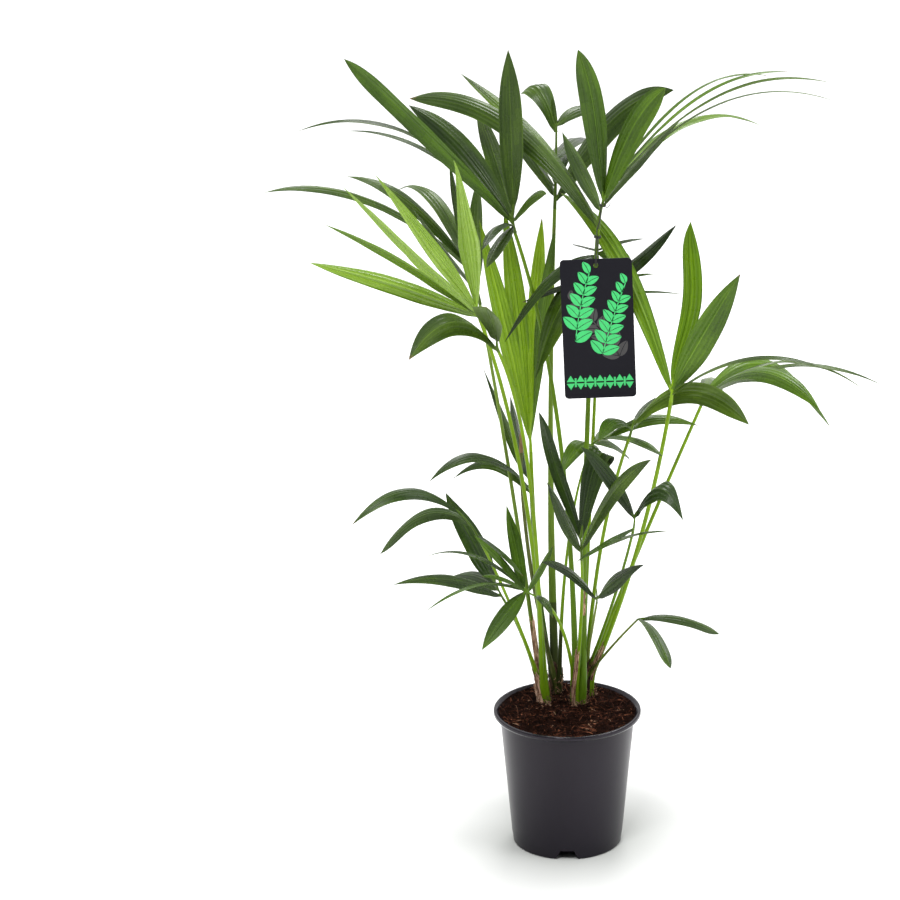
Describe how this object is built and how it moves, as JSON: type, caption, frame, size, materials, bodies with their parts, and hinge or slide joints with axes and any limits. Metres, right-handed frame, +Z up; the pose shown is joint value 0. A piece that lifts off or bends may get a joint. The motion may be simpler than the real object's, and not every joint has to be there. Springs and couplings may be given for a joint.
{
  "type": "potted kentia palm",
  "caption": "Tall feathery house palm: slim arching stalks with long folded leaflets, rooted in a round tapered nursery pot, with a hanging card.",
  "frame": {"origin": "centre of the flat underside of the pot", "axes": "+Z up from the pot through the crown, +X to the right and +Y to the back, seen from the side on which the tag hangs"},
  "size_m": [0.7239, 0.6198, 1.0174],
  "materials": {
    "pot_plastic": "satin",
    "potting_mix": "matte",
    "stem_green": "satin",
    "sheath_fibre": "matte",
    "leaf_dark": "satin",
    "leaf_green": "satin",
    "leaf_lime": "satin",
    "tag_card": "satin",
    "tie_plastic": "satin"
  },
  "bodies": {
    "root": {"pot": "pot_plastic", "potting_mix": "potting_mix", "stem_left": "stem_green", "stem_back": "stem_green", "stem_centre": "stem_green", "stem_right": "stem_green", "sheath_left": "sheath_fibre", "sheath_back": "sheath_fibre", "sheath_centre": "sheath_fibre", "sheath_right": "sheath_fibre", "stalk_crown_left": "stem_green", "stalk_crown_middle": "stem_green", "stalk_crown_right": "stem_green", "stalk_crown_back": "stem_green", "stalk_left_upper": "stem_green", "stalk_left_lime": "stem_green", "stalk_middle_lime": "stem_green", "stalk_left_bent": "stem_green", "stalk_left_dark": "stem_green", "stalk_left_low": "stem_green", "stalk_left_low_back": "stem_green", "stalk_front_low": "stem_green", "stalk_centre_dark": "stem_green", "stalk_right_small": "stem_green", "stalk_right_middle": "stem_green", "stalk_right_long": "stem_green", "stalk_right_lime": "stem_green", "stalk_right_low": "stem_green", "stalk_small_two_lobed": "stem_green", "stalk_right_two_lobed": "stem_green", "stalk_cut_short": "sheath_fibre", "tag": "tag_card", "tag_tie": "tie_plastic", "frond_crown_left": "leaf_dark", "frond_crown_middle": "leaf_dark", "frond_crown_right": "leaf_dark", "frond_crown_back": "leaf_dark", "frond_left_upper": "leaf_dark", "frond_left_lime": "leaf_lime", "frond_middle_lime": "leaf_lime", "frond_left_bent": "leaf_green", "frond_left_dark": "leaf_dark", "frond_left_low": "leaf_dark", "frond_left_low_back": "leaf_dark", "frond_front_low": "leaf_green", "frond_centre_dark": "leaf_dark", "frond_right_small": "leaf_green", "frond_right_middle": "leaf_green", "frond_right_long": "leaf_dark", "frond_right_lime": "leaf_lime", "frond_right_low": "leaf_green", "frond_small_two_lobed": "leaf_dark", "frond_right_two_lobed": "leaf_dark"}
  },
  "joints": []
}
